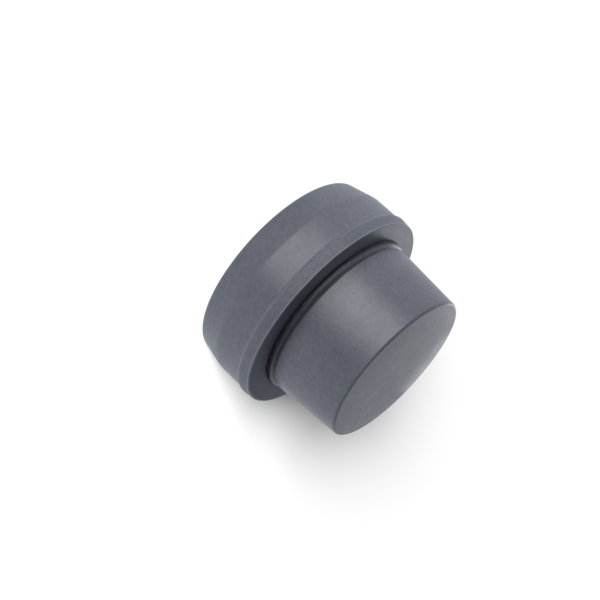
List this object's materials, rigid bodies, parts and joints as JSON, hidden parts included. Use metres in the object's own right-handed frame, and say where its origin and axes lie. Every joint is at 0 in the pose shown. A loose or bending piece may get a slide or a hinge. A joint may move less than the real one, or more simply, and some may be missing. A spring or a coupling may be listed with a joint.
{
  "type": "rubber stopper",
  "caption": "Solid grey rubber stopper: a thick round head with a banded rim over a slightly tapered plug that seals the mouth of a tube.",
  "frame": {"origin": "centre of the head's flat top, on which the stopper stands", "axes": "+Z is the stopper's axis, from the head's flat top to the tip of the plug; the part is round, so +X and +Y are free"},
  "size_m": [0.0186, 0.0186, 0.0132],
  "materials": {
    "rubber": "satin moulded slate-grey rubber"
  },
  "bodies": {
    "root": {"stopper": "rubber"}
  },
  "joints": []
}
